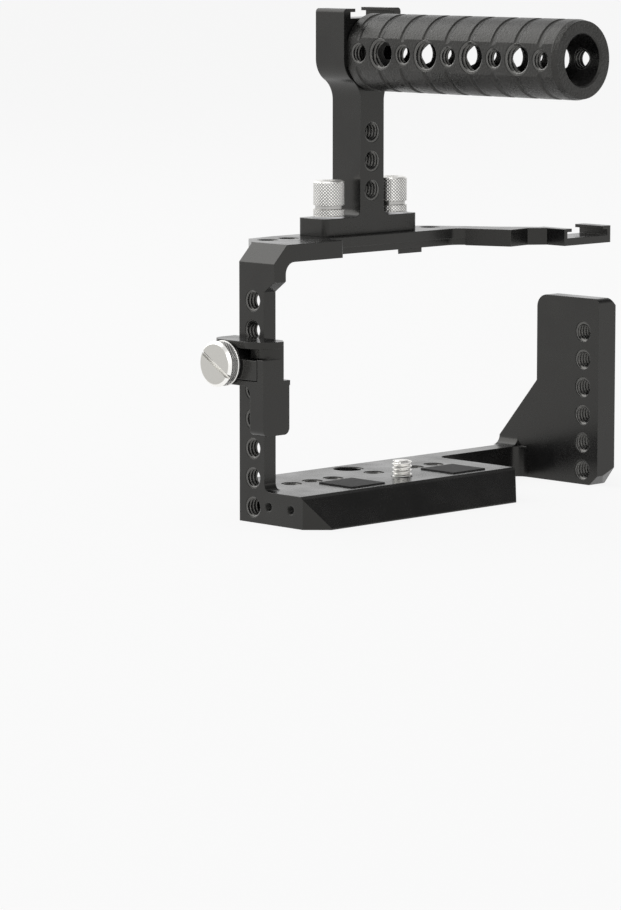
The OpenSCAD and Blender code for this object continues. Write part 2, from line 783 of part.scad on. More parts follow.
cage_frame();
locating_tongue();
tongue_screw();
base_pads();
camera_screw();
camera_screw_washer();
handle_bracket();
handle_grip();
grip_bolt();
grip_bolt_washer();
grip_dowels();
handle_screw_left();
handle_screw_right();
handle_washer_left();
handle_washer_right();
clamp_bracket();
clamp_jaw();
clamp_jaw_pad();
clamp_screw();
clamp_washer();
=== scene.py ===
import math

import bmesh
import bpy
from mathutils import Matrix, Vector


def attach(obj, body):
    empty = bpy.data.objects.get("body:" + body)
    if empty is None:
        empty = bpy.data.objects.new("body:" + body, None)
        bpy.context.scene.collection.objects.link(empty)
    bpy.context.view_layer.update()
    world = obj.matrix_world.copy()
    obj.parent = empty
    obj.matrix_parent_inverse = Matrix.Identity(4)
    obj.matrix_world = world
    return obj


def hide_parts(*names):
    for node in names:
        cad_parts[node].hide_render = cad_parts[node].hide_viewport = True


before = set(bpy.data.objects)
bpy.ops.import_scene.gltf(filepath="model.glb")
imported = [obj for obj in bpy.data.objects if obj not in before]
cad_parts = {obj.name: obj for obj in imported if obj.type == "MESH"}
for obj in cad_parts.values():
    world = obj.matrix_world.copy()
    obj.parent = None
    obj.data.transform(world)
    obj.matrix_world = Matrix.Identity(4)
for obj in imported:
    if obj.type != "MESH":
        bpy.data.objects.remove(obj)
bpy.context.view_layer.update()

# ---------------------------------------------------------------------------
# Studio. A white table in a white room, with a large soft box beyond and above the
# cage and a small one at its left; the ceiling is dimmer, and a dark flag hangs
# high on the right. None of it is part of the cage.
# ---------------------------------------------------------------------------
camera_place = (-0.8997, -0.8875, 0.1859)
camera_turn = (math.radians(82.3), 0.0, math.radians(-44.511))
lamps_aim_at = Vector((0.0, 0.0, 0.06))

camera = bpy.data.objects.new("camera", bpy.data.cameras.new("camera"))
camera.data.sensor_fit = "HORIZONTAL"
camera.data.sensor_width = 36.0
camera.data.lens = 241.28
camera.data.clip_start = 0.05
camera.data.clip_end = 50.0
camera.location = camera_place
camera.rotation_euler = camera_turn
bpy.context.scene.collection.objects.link(camera)
bpy.context.scene.camera = camera
bpy.context.scene.view_settings.view_transform = "Standard"


def soft_box(name, place, width, depth, watts):
    """A rectangular lamp that faces the cage."""
    lamp = bpy.data.lights.new(name, "AREA")
    lamp.shape = "RECTANGLE"
    lamp.size = width
    lamp.size_y = depth
    lamp.energy = watts
    box = bpy.data.objects.new(name, lamp)
    box.location = place
    box.rotation_euler = (lamps_aim_at - Vector(place)).to_track_quat("-Z", "Y").to_euler()
    bpy.context.scene.collection.objects.link(box)


soft_box("soft_box_high", (-0.45, 1.2, 1.15), 1.8, 1.5, 14.0)
soft_box("soft_box_left", (-1.3, -0.9, 0.9), 0.5, 0.7, 3.0)


def seen_directly(tree):
    """A mask that is one where the eye, a reflection or clear glass looks at the surface."""
    path = tree.nodes.new("ShaderNodeLightPath")
    either = tree.nodes.new("ShaderNodeMath")
    either.operation = "MAXIMUM"
    tree.links.new(path.outputs["Is Camera Ray"], either.inputs[0])
    tree.links.new(path.outputs["Is Glossy Ray"], either.inputs[1])
    both = tree.nodes.new("ShaderNodeMath")
    both.operation = "MAXIMUM"
    tree.links.new(either.outputs[0], both.inputs[0])
    tree.links.new(path.outputs["Is Transmission Ray"], both.inputs[1])
    return both.outputs[0]


room = bpy.data.worlds.new("white_room")
room.use_nodes = True
room.cycles.sampling_method = "NONE"
bpy.context.scene.world = room
room_nodes, room_links = room.node_tree.nodes, room.node_tree.links
air = room_nodes["Background"]
air.inputs["Color"].default_value = (1.0, 1.0, 1.0, 1.0)
outlook = room_nodes.new("ShaderNodeTexCoord")
height = room_nodes.new("ShaderNodeSeparateXYZ")
ceiling = room_nodes.new("ShaderNodeMapRange")
ceiling.inputs["From Min"].default_value = 0.25
ceiling.inputs["From Max"].default_value = 0.65
ceiling.inputs["To Min"].default_value = 1.0
ceiling.inputs["To Max"].default_value = 0.65
to_flag = room_nodes.new("ShaderNodeVectorMath")
to_flag.operation = "DOT_PRODUCT"
to_flag.inputs[1].default_value = (0.557, -0.56, 0.616)
dark_flag = room_nodes.new("ShaderNodeMapRange")
dark_flag.inputs["From Min"].default_value = 0.72
dark_flag.inputs["From Max"].default_value = 0.95
dark_flag.inputs["To Min"].default_value = 1.0
dark_flag.inputs["To Max"].default_value = 0.25
mirrored = room_nodes.new("ShaderNodeMath")
mirrored.operation = "MULTIPLY"
eye = room_nodes.new("ShaderNodeLightPath")
backdrop = room_nodes.new("ShaderNodeMath")
backdrop.operation = "MAXIMUM"
brightness = room_nodes.new("ShaderNodeMix")
brightness.inputs["A"].default_value = 0.4
room_links.new(outlook.outputs["Generated"], height.inputs["Vector"])
room_links.new(height.outputs["Z"], ceiling.inputs["Value"])
room_links.new(outlook.outputs["Generated"], to_flag.inputs[0])
room_links.new(to_flag.outputs["Value"], dark_flag.inputs["Value"])
room_links.new(ceiling.outputs["Result"], mirrored.inputs[0])
room_links.new(dark_flag.outputs["Result"], mirrored.inputs[1])
room_links.new(mirrored.outputs[0], backdrop.inputs[0])
room_links.new(eye.outputs["Is Camera Ray"], backdrop.inputs[1])
room_links.new(seen_directly(room.node_tree), brightness.inputs["Factor"])
room_links.new(backdrop.outputs[0], brightness.inputs["B"])
room_links.new(brightness.outputs["Result"], air.inputs["Strength"])

paper = bpy.data.materials.new("white_paper")
paper.use_nodes = True
paper.cycles.emission_sampling = "NONE"
paper_nodes, paper_links = paper.node_tree.nodes, paper.node_tree.links
matt_paper = paper_nodes["Principled BSDF"]
matt_paper.inputs["Base Color"].default_value = (0.86, 0.86, 0.86, 1.0)
matt_paper.inputs["Roughness"].default_value = 0.9
glow = paper_nodes.new("ShaderNodeEmission")
glow.inputs["Color"].default_value = (1.0, 1.0, 1.0, 1.0)
glow_share = paper_nodes.new("ShaderNodeMath")
glow_share.operation = "MULTIPLY"
glow_share.inputs[1].default_value = 0.88
blend = paper_nodes.new("ShaderNodeMixShader")
paper_links.new(seen_directly(paper.node_tree), glow_share.inputs[0])
paper_links.new(glow_share.outputs[0], blend.inputs["Fac"])
paper_links.new(matt_paper.outputs[0], blend.inputs[1])
paper_links.new(glow.outputs[0], blend.inputs[2])
paper_links.new(blend.outputs[0], paper_nodes["Material Output"].inputs["Surface"])

table_shape = bmesh.new()
bmesh.ops.create_grid(table_shape, x_segments=2, y_segments=2, size=6.0)
table_mesh = bpy.data.meshes.new("table")
table_shape.to_mesh(table_mesh)
table_shape.free()
table = bpy.data.objects.new("table", table_mesh)
bpy.context.scene.collection.objects.link(table)
table.data.materials.append(paper)

# ---------------------------------------------------------------------------
# Frame. One machined aluminium frame, bead blasted and black anodised: base, left
# column, top plate with the ear and its shoe, and the right upright. The finish
# rounds its edges by 0.3 mm and lightens them, as wear and as a painted highlight.
# ---------------------------------------------------------------------------
edge_round = 0.0003


def make_blasted_grain():
    """Fine blasted grain under an anodised coat: cloudy tone, edges lightened as wear and painted
    highlight, and a rough skin.
    """
    group = bpy.data.node_groups.new("blasted_grain", "ShaderNodeTree")
    for label, kind in (
        ("Dark", "Color"), ("Light", "Color"), ("Roughness", "Float"), ("Grain Scale", "Float"),
        ("Grain Depth", "Float"), ("Edge Round", "Float"), ("Edge", "Color"), ("Edge Wear And Sheen", "Float"),
    ):
        group.interface.new_socket(name=label, in_out="INPUT", socket_type="NodeSocket" + kind)
    for label, kind in (("Color", "Color"), ("Roughness", "Float"), ("Normal", "Vector")):
        group.interface.new_socket(name=label, in_out="OUTPUT", socket_type="NodeSocket" + kind)
    nodes, links = group.nodes, group.links
    given = nodes.new("NodeGroupInput")
    made = nodes.new("NodeGroupOutput")
    place = nodes.new("ShaderNodeTexCoord")

    grain = nodes.new("ShaderNodeTexNoise")
    grain.inputs["Detail"].default_value = 3.0
    grain.inputs["Roughness"].default_value = 0.6
    links.new(place.outputs["Object"], grain.inputs["Vector"])
    links.new(given.outputs["Grain Scale"], grain.inputs["Scale"])
    clouds = nodes.new("ShaderNodeTexNoise")
    clouds.inputs["Scale"].default_value = 90.0
    clouds.inputs["Detail"].default_value = 4.0
    links.new(place.outputs["Object"], clouds.inputs["Vector"])
    speckle = nodes.new("ShaderNodeMath")
    speckle.operation = "MULTIPLY"
    links.new(grain.outputs["Fac"], speckle.inputs[0])
    links.new(clouds.outputs["Fac"], speckle.inputs[1])
    spread = nodes.new("ShaderNodeMapRange")
    spread.inputs["From Min"].default_value = 0.12
    spread.inputs["From Max"].default_value = 0.42
    links.new(speckle.outputs[0], spread.inputs["Value"])
    tone = nodes.new("ShaderNodeMix")
    tone.data_type = "RGBA"
    links.new(spread.outputs["Result"], tone.inputs["Factor"])
    links.new(given.outputs["Dark"], tone.inputs["A"])
    links.new(given.outputs["Light"], tone.inputs["B"])

    rounded = nodes.new("ShaderNodeBevel")
    rounded.samples = 6
    links.new(given.outputs["Edge Round"], rounded.inputs["Radius"])
    flat_face = nodes.new("ShaderNodeNewGeometry")
    away_from_edge = nodes.new("ShaderNodeVectorMath")
    away_from_edge.operation = "DOT_PRODUCT"
    links.new(rounded.outputs["Normal"], away_from_edge.inputs[0])
    links.new(flat_face.outputs["True Normal"], away_from_edge.inputs[1])
    # Edges are lightened in patches: partly wear, partly a painted highlight.
    near_edge = nodes.new("ShaderNodeMapRange")
    near_edge.inputs["From Min"].default_value = 0.985
    near_edge.inputs["From Max"].default_value = 0.88
    links.new(away_from_edge.outputs["Value"], near_edge.inputs["Value"])
    patchy = nodes.new("ShaderNodeMath")
    patchy.operation = "MULTIPLY"
    links.new(near_edge.outputs["Result"], patchy.inputs[0])
    links.new(clouds.outputs["Fac"], patchy.inputs[1])
    worn_and_lit = nodes.new("ShaderNodeMath")
    worn_and_lit.operation = "MULTIPLY"
    worn_and_lit.use_clamp = True
    links.new(patchy.outputs[0], worn_and_lit.inputs[0])
    links.new(given.outputs["Edge Wear And Sheen"], worn_and_lit.inputs[1])
    edged = nodes.new("ShaderNodeMix")
    edged.data_type = "RGBA"
    links.new(worn_and_lit.outputs[0], edged.inputs["Factor"])
    links.new(tone.outputs["Result"], edged.inputs["A"])
    links.new(given.outputs["Edge"], edged.inputs["B"])
    links.new(edged.outputs["Result"], made.inputs["Color"])

    rough = nodes.new("ShaderNodeMath")
    rough.operation = "MULTIPLY_ADD"
    rough.inputs[1].default_value = 0.16
    links.new(spread.outputs["Result"], rough.inputs[0])
    links.new(given.outputs["Roughness"], rough.inputs[2])
    links.new(rough.outputs[0], made.inputs["Roughness"])
    skin = nodes.new("ShaderNodeBump")
    skin.inputs["Strength"].default_value = 1.0
    links.new(given.outputs["Grain Depth"], skin.inputs["Distance"])
    links.new(grain.outputs["Fac"], skin.inputs["Height"])
    links.new(rounded.outputs["Normal"], skin.inputs["Normal"])
    links.new(skin.outputs["Normal"], made.inputs["Normal"])
    return group


blasted_grain = make_blasted_grain()


def anodised(name, dark, light, roughness, grain_scale, grain_depth,
             edge=0.08, edge_wear_and_sheen=1.2, ior=1.5):
    """Black anodised aluminium: a dyed clear layer over blasted metal."""
    coat = bpy.data.materials.new(name)
    coat.use_nodes = True
    nodes, links = coat.node_tree.nodes, coat.node_tree.links
    surface = nodes["Principled BSDF"]
    surface.inputs["IOR"].default_value = ior
    surface.inputs["Specular Tint"].default_value = (1.0, 0.985, 0.93, 1.0)
    grain = nodes.new("ShaderNodeGroup")
    grain.node_tree = blasted_grain
    grain.inputs["Dark"].default_value = (*dark, 1.0)
    grain.inputs["Light"].default_value = (*light, 1.0)
    grain.inputs["Roughness"].default_value = roughness
    grain.inputs["Grain Scale"].default_value = grain_scale
    grain.inputs["Grain Depth"].default_value = grain_depth
    grain.inputs["Edge Round"].default_value = edge_round
    # The edge colour and amount lighten the edges: part wear, part painted highlight.
    grain.inputs["Edge"].default_value = (edge, edge, edge * 0.98, 1.0)
    grain.inputs["Edge Wear And Sheen"].default_value = edge_wear_and_sheen
    links.new(grain.outputs["Color"], surface.inputs["Base Color"])
    links.new(grain.outputs["Roughness"], surface.inputs["Roughness"])
    links.new(grain.outputs["Normal"], surface.inputs["Normal"])
    return coat


def wear(node_name, material):
    """Gives a drawn piece its finish."""
    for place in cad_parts[node_name].material_slots:
        place.material = material


black_anodised = anodised(
    "black_anodised_frame", (0.005, 0.005, 0.0054), (0.013, 0.0128, 0.0128),
    roughness=0.17, grain_scale=2600.0, grain_depth=0.00001,
)
wear("cage_frame", black_anodised)
wear("locating_tongue", black_anodised)

# ---------------------------------------------------------------------------
# Threads of the frame. Each empty tapped hole shows its helical ridge: 1/4-20
# in the column, upright, top plate and base, 3/8-16 in front of the tripod hole,
# and two small metric ones in the foot. The ridge is cut from the same metal.
# ---------------------------------------------------------------------------
quarter_radius, quarter_pitch = 0.003175, 0.00127
wide_radius, wide_pitch = 0.0047625, 0.0015875
row_step, first_hole_z = 0.0088, 0.0046
column_y, column_depth, clamp_hole = -0.0018, 0.0048, 5
upright_y, upright_depth = -0.0166, 0.008
plate_thread_x, plate_thread_y, plate_depth = (-0.0391, -0.0305, 0.0305), 0.006, 0.0052
base_thread_steps, wide_thread_y, base_depth = (0, -4, -3, -2, 2, 3), 0.011, 0.0097
foot_thread_y, foot_thread_z, foot_depth = (-0.0084, -0.0178), 0.0053, 0.0065
foot_radius, foot_pitch = 0.0015, 0.0005
tooth_height, tooth_root, tooth_crest, tooth_lead = 0.54, 0.88, 0.18, 0.1
tooth_sink, thread_end = 0.00004, 0.0002


def corners(node_name):
    """The low and the high corner of a drawn piece, to the micrometre."""
    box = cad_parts[node_name].bound_box
    return [round(v, 6) for v in box[0]], [round(v, 6) for v in box[6]]


def thread_ridge(shape, mouth, inward, radius, pitch, depth, steps=20, outside=False):
    """Adds a ridge to a bmesh: a 60 degree tooth wound along a hole, or outside on a screw.

    The tooth's height, widths and lead are shares of the pitch.
    """
    side = -1 if outside else 1
    root, crest = radius + side * tooth_sink, radius - side * tooth_height * pitch
    root_half, crest_half = tooth_root * pitch / 2, tooth_crest * pitch / 2
    first_cut, last_cut = tooth_lead * pitch, depth - thread_end
    turns = math.ceil(depth / pitch) + 2
    tooth = bmesh.new()
    outline = [
        tooth.verts.new((r, 0.0, z))
        for r, z in ((root, -root_half), (crest, -crest_half), (crest, crest_half), (root, root_half))
    ]
    edges = [tooth.edges.new((outline[i], outline[(i + 1) % 4])) for i in range(4)]
    bmesh.ops.spin(
        tooth, geom=outline + edges, cent=(0, 0, 0), axis=(0, 0, 1),
        dvec=(0, 0, pitch / steps), angle=math.tau * turns, steps=steps * turns,
        use_merge=False, use_duplicate=False,
    )
    bmesh.ops.translate(tooth, verts=tooth.verts, vec=(0, 0, -pitch))
    for height, away in ((first_cut, -1), (last_cut, 1)):
        bmesh.ops.bisect_plane(
            tooth, geom=tooth.verts[:] + tooth.edges[:] + tooth.faces[:], dist=1e-8,
            plane_co=(0, 0, height), plane_no=(0, 0, away), clear_outer=True, clear_inner=False,
        )
    bmesh.ops.holes_fill(tooth, edges=[e for e in tooth.edges if e.is_boundary], sides=0)
    bmesh.ops.recalc_face_normals(tooth, faces=tooth.faces)
    turn = Vector((0, 0, 1)).rotation_difference(Vector(inward)).to_matrix().to_4x4()
    bmesh.ops.transform(tooth, matrix=Matrix.Translation(mouth) @ turn, verts=tooth.verts)
    ridge = bpy.data.meshes.new("ridge")
    tooth.to_mesh(ridge)
    tooth.free()
    shape.from_mesh(ridge)
    bpy.data.meshes.remove(ridge)


def finished_piece(name, shape, material, body):
    """Turns a bmesh into a flat shaded piece that rides on a body and takes its finish."""
    mesh = bpy.data.meshes.new(name)
    for face in shape.faces:
        face.smooth = False
    shape.to_mesh(mesh)
    shape.free()
    piece = bpy.data.objects.new(name, mesh)
    bpy.context.scene.collection.objects.link(piece)
    piece.data.materials.append(material)
    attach(piece, body)
    return piece


# The threads take strong edge lightening: their bright crests are a painted highlight, with a little
# wear.
tapped = anodised(
    "black_anodised_threads", (0.006, 0.006, 0.0065), (0.02, 0.0198, 0.0196),
    roughness=0.14, grain_scale=3200.0, grain_depth=0.000004, edge=0.3, edge_wear_and_sheen=2.0, ior=1.9,
)
(left_face, _, _), (right_face, _, plate_top) = corners("cage_frame")

threads = bmesh.new()
for k in range(8):
    if k != clamp_hole:
        thread_ridge(threads, (left_face, column_y, first_hole_z + k * row_step), (1, 0, 0),
                     quarter_radius, quarter_pitch, column_depth)
finished_piece("column_threads", threads, tapped, "cage")

threads = bmesh.new()
for k in range(6):
    thread_ridge(threads, (right_face, upright_y, first_hole_z + k * row_step), (-1, 0, 0),
                 quarter_radius, quarter_pitch, upright_depth)
finished_piece("upright_threads", threads, tapped, "cage")

threads = bmesh.new()
for x in plate_thread_x:
    thread_ridge(threads, (x, plate_thread_y, plate_top), (0, 0, -1),
                 quarter_radius, quarter_pitch, plate_depth)
for k in base_thread_steps:
    thread_ridge(threads, (k * row_step, 0.0, 0.0), (0, 0, 1),
                 quarter_radius, quarter_pitch, base_depth)
thread_ridge(threads, (0.0, wide_thread_y, 0.0), (0, 0, 1), wide_radius, wide_pitch, base_depth)
finished_piece("plate_and_base_threads", threads, tapped, "cage")

threads = bmesh.new()
for y in foot_thread_y:
    thread_ridge(threads, (left_face, y, foot_thread_z), (1, 0, 0),
                 foot_radius, foot_pitch, foot_depth, steps=14)
finished_piece("foot_threads", threads, black_anodised, "cage")

# ---------------------------------------------------------------------------
# Small parts of the frame. The tongue's countersunk screw, nickel plated; the
# zinc plated washer over the camera screw's head; and two moulded rubber pads
# let into the bed of the base.
# ---------------------------------------------------------------------------


def plated(name, tint, roughness, brush_scale):
    """Plated steel: bright metal with faint handling marks, and painted shade in a knurl's grooves.
    """
    marked, groove_shade_tone = [0.96 * c for c in tint], [0.22 * c for c in tint]
    smoothest, roughest = 0.95 * roughness, 1.2 * roughness
    shine = bpy.data.materials.new(name)
    shine.use_nodes = True
    nodes, links = shine.node_tree.nodes, shine.node_tree.links
    surface = nodes["Principled BSDF"]
    surface.inputs["Metallic"].default_value = 1.0
    place = nodes.new("ShaderNodeTexCoord")
    marks = nodes.new("ShaderNodeTexNoise")
    marks.inputs["Scale"].default_value = brush_scale
    marks.inputs["Detail"].default_value = 5.0
    links.new(place.outputs["Object"], marks.inputs["Vector"])
    tone = nodes.new("ShaderNodeMix")
    tone.data_type = "RGBA"
    tone.inputs["A"].default_value = (*marked, 1.0)
    tone.inputs["B"].default_value = (*tint, 1.0)
    links.new(marks.outputs["Fac"], tone.inputs["Factor"])
    # The groove mark darkens a knurl's pits and a screw's waist: painted shade.
    groove = nodes.new("ShaderNodeAttribute")
    groove.attribute_name = "groove"
    deep = nodes.new("ShaderNodeMapRange")
    deep.inputs["From Min"].default_value = 0.56
    deep.inputs["From Max"].default_value = 0.85
    links.new(groove.outputs["Fac"], deep.inputs["Value"])
    shade = nodes.new("ShaderNodeMix")
    shade.data_type = "RGBA"
    shade.inputs["B"].default_value = (*groove_shade_tone, 1.0)
    links.new(deep.outputs["Result"], shade.inputs["Factor"])
    links.new(tone.outputs["Result"], shade.inputs["A"])
    links.new(shade.outputs["Result"], surface.inputs["Base Color"])
    polish = nodes.new("ShaderNodeMapRange")
    polish.inputs["To Min"].default_value = smoothest
    polish.inputs["To Max"].default_value = roughest
    links.new(marks.outputs["Fac"], polish.inputs["Value"])
    links.new(polish.outputs["Result"], surface.inputs["Roughness"])
    scuffs = nodes.new("ShaderNodeBump")
    scuffs.inputs["Strength"].default_value = 1.0
    scuffs.inputs["Distance"].default_value = 0.000003
    links.new(marks.outputs["Fac"], scuffs.inputs["Height"])
    links.new(scuffs.outputs["Normal"], surface.inputs["Normal"])
    return shine


nickel = plated("nickel_plate", (0.98, 0.97, 0.94), roughness=0.3, brush_scale=900.0)
plain_steel = plated("zinc_steel", (0.62, 0.62, 0.63), roughness=0.34, brush_scale=1500.0)


def make_rubber():
    """Soft black rubber with a fine moulded texture."""
    skin = bpy.data.materials.new("moulded_rubber")
    skin.use_nodes = True
    nodes, links = skin.node_tree.nodes, skin.node_tree.links
    surface = nodes["Principled BSDF"]
    place = nodes.new("ShaderNodeTexCoord")
    pores = nodes.new("ShaderNodeTexVoronoi")
    pores.inputs["Scale"].default_value = 1400.0
    links.new(place.outputs["Object"], pores.inputs["Vector"])
    tone = nodes.new("ShaderNodeMix")
    tone.data_type = "RGBA"
    tone.inputs["A"].default_value = (0.012, 0.012, 0.012, 1.0)
    tone.inputs["B"].default_value = (0.028, 0.027, 0.026, 1.0)
    links.new(pores.outputs["Distance"], tone.inputs["Factor"])
    links.new(tone.outputs["Result"], surface.inputs["Base Color"])
    matt = nodes.new("ShaderNodeMapRange")
    matt.inputs["To Min"].default_value = 0.6
    matt.inputs["To Max"].default_value = 0.8
    links.new(pores.outputs["Distance"], matt.inputs["Value"])
    links.new(matt.outputs["Result"], surface.inputs["Roughness"])
    dimple = nodes.new("ShaderNodeBump")
    dimple.inputs["Distance"].default_value = 0.00003
    links.new(pores.outputs["Distance"], dimple.inputs["Height"])
    links.new(dimple.outputs["Normal"], surface.inputs["Normal"])
    return skin


rubber = make_rubber()
wear("tongue_screw", nickel)
wear("camera_screw_washer", plain_steel)
wear("base_pads", rubber)

# ---------------------------------------------------------------------------
# Handle bracket. Post, flared head with its shoe, and base, machined from one
# piece and black anodised as the frame is; three 1/4-20 threads go through it.
# ---------------------------------------------------------------------------
(_, post_back, _), (_, post_front, _) = corners("handle_bracket")
post_depth = round(post_front - post_back, 6)
bracket_base_top, first_post_hole = corners("handle_washer_left")[0][2], 0.0079
wear("handle_bracket", black_anodised)

threads = bmesh.new()
for k in range(3):
    hole_z = bracket_base_top + first_post_hole + k * row_step
    thread_ridge(threads, (0.0, post_back, hole_z), (0, 1, 0),
                 quarter_radius, quarter_pitch, post_depth)
finished_piece("post_threads", threads, tapped, "cage")

# ---------------------------------------------------------------------------
# Grip. A bored aluminium tube with two flats, ring grooves and nine cross holes,
# anodised with a duller, grainier skin; a black bolt inside holds it on, and two
# steel dowels keep it from turning.
# ---------------------------------------------------------------------------
flat_x, bore_radius, drill_y, drill_length = 0.010692, 0.0075, -0.05, 0.12
first_hole_y, hole_step = -0.0037, 0.0092
wall_depth, depth_beside_bolt = 0.0052, 0.0042
grainy_anodised = anodised(
    "black_anodised_grip", (0.002, 0.002, 0.0022), (0.036, 0.0352, 0.0345),
    roughness=0.24, grain_scale=1500.0, grain_depth=0.00016, edge=0.05, edge_wear_and_sheen=0.5,
)
black_oxide = anodised(
    "black_oxide_bolt", (0.008, 0.008, 0.009), (0.018, 0.018, 0.019),
    roughness=0.3, grain_scale=2600.0, grain_depth=0.000004,
)
wear("handle_grip", grainy_anodised)
wear("grip_bolt", black_oxide)
wear("grip_bolt_washer", black_oxide)
wear("grip_dowels", plain_steel)


def centre(node_name):
    """The middle of a drawn piece, to the micrometre."""
    return [round((low + high) / 2, 6) for low, high in zip(*corners(node_name))]


def cut_away(piece, tool_shape):
    """Cuts a piece by a shape, as a drill or a saw would."""
    tool_mesh = bpy.data.meshes.new("tool")
    tool_shape.to_mesh(tool_mesh)
    tool_shape.free()
    tool = bpy.data.objects.new("tool", tool_mesh)
    bpy.context.scene.collection.objects.link(tool)
    take = piece.modifiers.new("cut", "BOOLEAN")
    take.operation = "DIFFERENCE"
    take.solver = "EXACT"
    take.object = tool
    remainder = bpy.data.meshes.new_from_object(
        piece.evaluated_get(bpy.context.evaluated_depsgraph_get())
    )
    piece.modifiers.remove(take)
    uncut, name = piece.data, piece.data.name
    piece.data = remainder
    bpy.data.meshes.remove(uncut)
    remainder.name = name
    bpy.data.objects.remove(tool)
    bpy.data.meshes.remove(tool_mesh)


def round_bar(length, radius, matrix, sides=64):
    """A plain round bar as a bmesh, centred on the matrix, along its Z."""
    bar = bmesh.new()
    bmesh.ops.create_cone(bar, cap_ends=True, segments=sides, radius1=radius, radius2=radius,
                          depth=length, matrix=matrix)
    return bar


_, _, grip_z = centre("handle_grip")
threads = bmesh.new()
for k in range(9):
    radius, pitch = (wide_radius, wide_pitch) if k % 2 else (quarter_radius, quarter_pitch)
    for side in (-1, 1):
        thread_ridge(threads, (side * flat_x, first_hole_y - k * hole_step, grip_z),
                     (-side, 0, 0), radius, pitch, wall_depth if k else depth_beside_bolt)
grip_threads = finished_piece("grip_threads", threads, tapped, "cage")
bore_axis = Matrix.Translation((0, drill_y, grip_z)) @ Matrix.Rotation(math.pi / 2, 4, "X")
cut_away(grip_threads, round_bar(drill_length, bore_radius, bore_axis))

# ---------------------------------------------------------------------------
# Handle thumbscrews. Two nickel plated steel screws, each with a diamond knurled
# head, a plain waist, a knurled collar and a hexagon socket, on a thin washer.
# ---------------------------------------------------------------------------
core_radius, shank_radius, tip_chamfer = 0.0024, 0.0031, 0.0004
head_radius, head_height, collar, waist, waist_sink = 0.0048, 0.0108, 0.0023, 0.0009, 0.0006
edge_break, knurl_margin, knurl_depth, knurl_columns = 0.0003, 0.0002, 0.00008, 60
collar_rows, head_rows, top_break, top_round = 4, 14, 0.0002, 0.0007
handle_shank, handle_neck, handle_neck_slope = 0.0105, 0.0004, 0.0002
handle_thread_start, handle_thread_length = -0.0104, 0.0099
socket_radius, socket_depth, waist_shade, slack = 0.00231, 0.003, 0.75, 1e-6


def turned(outline, steps):
    """A solid turned about Z from its outline, given as radius and height."""
    shape = bmesh.new()
    points = [shape.verts.new((r, 0, z)) for r, z in outline]
    edges = [shape.edges.new(pair) for pair in zip(points, points[1:])]
    bmesh.ops.spin(shape, geom=points + edges, cent=(0, 0, 0), axis=(0, 0, 1),
                   angle=math.tau, steps=steps, use_merge=True, use_duplicate=False)
    bmesh.ops.remove_doubles(shape, verts=shape.verts, dist=1e-7)
    bmesh.ops.recalc_face_normals(shape, faces=shape.faces)
    return shape


def shank(length, neck, slope):
    """The outline of a screw's shank, from its chamfered tip to the neck under its head."""
    return [
        (0, -length), (core_radius - tip_chamfer, -length), (core_radius, tip_chamfer - length),
        (core_radius, -neck - slope), (shank_radius, -neck), (shank_radius, 0.0),
    ]


def knurled_rows(radius, low, high, rows):
    """The outline of a band that is to be knurled."""
    return [(radius, low + (high - low) * i / rows) for i in range(rows + 1)]


def knurl(shape, radius, low, high, rows, depth, columns):
    """Presses crossed grooves into a band, which leaves rows of small diamonds, and marks the pits
    for painted shade.
    """
    step = (high - low) / rows
    groove = shape.verts.layers.float.get("groove")
    pits = set()
    for point in shape.verts:
        r = math.hypot(point.co.x, point.co.y)
        if low - slack <= point.co.z <= high + slack and r > radius - slack:
            row = round((point.co.z - low) / step)
            column = round(math.atan2(point.co.y, point.co.x) / (math.tau / columns))
            if (row + column) % 2:
                point.co.x *= (radius - depth) / radius
                point.co.y *= (radius - depth) / radius
                point[groove] = 1.0
                pits.add(point)
    for face in shape.faces[:]:
        ends = [point for point in face.verts if point in pits]
        if len(face.verts) == 4 and len(ends) == 2:
            bmesh.utils.face_split(face, *ends)


def wound_thread(name, start, inward, length, body):
    """The thread on a screw's shank, wound from its tip towards its head."""
    winding = bmesh.new()
    thread_ridge(winding, start, inward, core_radius, quarter_pitch, length, outside=True)
    finished_piece(name, winding, nickel, body)


def thumbscrew(name, washer, body, stands_for):
    """One handle thumbscrew, seated on its washer."""
    waist_top = collar + waist
    collar_band = (head_radius, edge_break, collar - knurl_margin, collar_rows)
    head_band = (head_radius, waist_top + knurl_margin, head_height - top_round, head_rows)
    shape = turned([
        *shank(handle_shank, handle_neck, handle_neck_slope),
        (head_radius - edge_break, 0.0), *knurled_rows(*collar_band),
        (head_radius - waist_sink, collar), (head_radius - waist_sink, waist_top),
        *knurled_rows(*head_band),
        (head_radius - top_break, head_height - top_break),
        (head_radius - top_round, head_height), (0, head_height),
    ], steps=knurl_columns)
    groove = shape.verts.layers.float.new("groove")
    # The plain waist is marked for painted shade.
    for point in shape.verts:
        if collar - slack < point.co.z < waist_top + slack:
            point[groove] = waist_shade
    knurl(shape, *collar_band, knurl_depth, knurl_columns)
    knurl(shape, *head_band, knurl_depth, knurl_columns)
    x, y, _ = centre(washer)
    place = Matrix.Translation((x, y, corners(washer)[1][2]))
    bmesh.ops.transform(shape, matrix=place, verts=shape.verts)
    piece = finished_piece(name, shape, nickel, body)
    socket = place @ Matrix.Translation((0, 0, head_height))
    cut_away(piece, round_bar(2 * socket_depth, socket_radius, socket, sides=6))
    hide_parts(stands_for)
    wound_thread(name + "_thread", place @ Vector((0, 0, handle_thread_start)), (0, 0, 1),
                 handle_thread_length, body)


thumbscrew("left_thumbscrew", "handle_washer_left", "left_screw", "handle_screw_left")
thumbscrew("right_thumbscrew", "handle_washer_right", "right_screw", "handle_screw_right")
wear("handle_washer_left", plain_steel)
wear("handle_washer_right", plain_steel)

